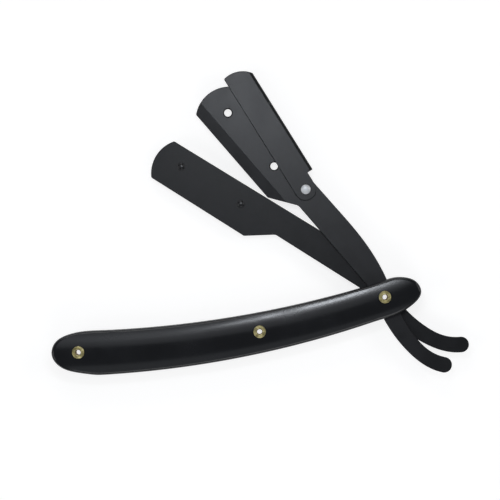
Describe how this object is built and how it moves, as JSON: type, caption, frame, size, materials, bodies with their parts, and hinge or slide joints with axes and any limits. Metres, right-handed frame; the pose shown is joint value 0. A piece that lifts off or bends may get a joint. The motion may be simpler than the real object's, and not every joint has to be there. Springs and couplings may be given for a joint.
{
  "type": "straight razor",
  "caption": "Folding barber's straight razor whose two stamped jaws open like scissors to take a half blade, held shut by a swinging folded lock.",
  "frame": {"origin": "on the main eyelet's axis, in the plane of the eyelets' back lips, which the razor lies on", "axes": "+X from the tail eyelet to the main eyelet, +Y to the side that the jaws fold in from, +Z from the back scale to the front scale"},
  "size_m": [0.1608, 0.1298, 0.0121],
  "materials": {
    "scale_plastic": "polished black moulded plastic",
    "spacer_plastic": "matt black moulded plastic",
    "eyelet_brass": "olive-gold plated, rolled lip",
    "collar_brass": "olive-gold plated ring",
    "washer_brass": "plain rubbed",
    "jaw_steel": "satin black baked coating on stamped steel",
    "stud_steel": "satin black coating",
    "lock_steel": "satin charcoal coating on folded steel",
    "rivet_steel": "satin nickel plated dome"
  },
  "bodies": {
    "handle": {"front_scale": "scale_plastic", "back_scale": "scale_plastic", "tail_eyelet": "eyelet_brass", "middle_eyelet": "eyelet_brass", "pivot_eyelet": "eyelet_brass", "front_tail_collar": "collar_brass", "back_tail_collar": "collar_brass", "front_middle_collar": "collar_brass", "back_middle_collar": "collar_brass", "front_pivot_collar": "collar_brass", "back_pivot_collar": "collar_brass", "tail_spacer": "spacer_plastic", "middle_spacer": "spacer_plastic", "front_pivot_washer": "washer_brass"},
    "hub": {"back_pivot_washer": "washer_brass"},
    "back_jaw_body": {"back_jaw": "jaw_steel", "blade_studs": "stud_steel"},
    "front_jaw_body": {"front_jaw": "jaw_steel", "lock_rivet": "rivet_steel"},
    "lock_body": {"swing_lock": "lock_steel"}
  },
  "joints": [
    {"name": "back_jaw_swing", "type": "hinge", "parent": "handle", "child": "hub", "pos_m": [0, 0, 0.0045], "axis": [0, 0, 1], "range_deg": [-234.5, 40.5]},
    {"name": "jaw_scissor", "type": "hinge", "parent": "hub", "child": "front_jaw_body", "pos_m": [0, 0, 0.00695], "axis": [0, 0, 1], "range_deg": [-43, 16.9]},
    {"name": "back_jaw_flex", "type": "hinge", "parent": "hub", "child": "back_jaw_body", "pos_m": [0.0282, -0.02577, 0.00565], "axis": [-0.6746, -0.7382, 0], "range_deg": [-0.56, 0]},
    {"name": "lock_swing", "type": "hinge", "parent": "front_jaw_body", "child": "lock_body", "pos_m": [-0.02287, 0.04678, 0.00635], "axis": [0, 0, 1], "range_deg": [0, 11]}
  ],
  "couplings": [
    {"joint": "back_jaw_flex", "follows": "lock_swing", "ratio": -0.0509}
  ]
}
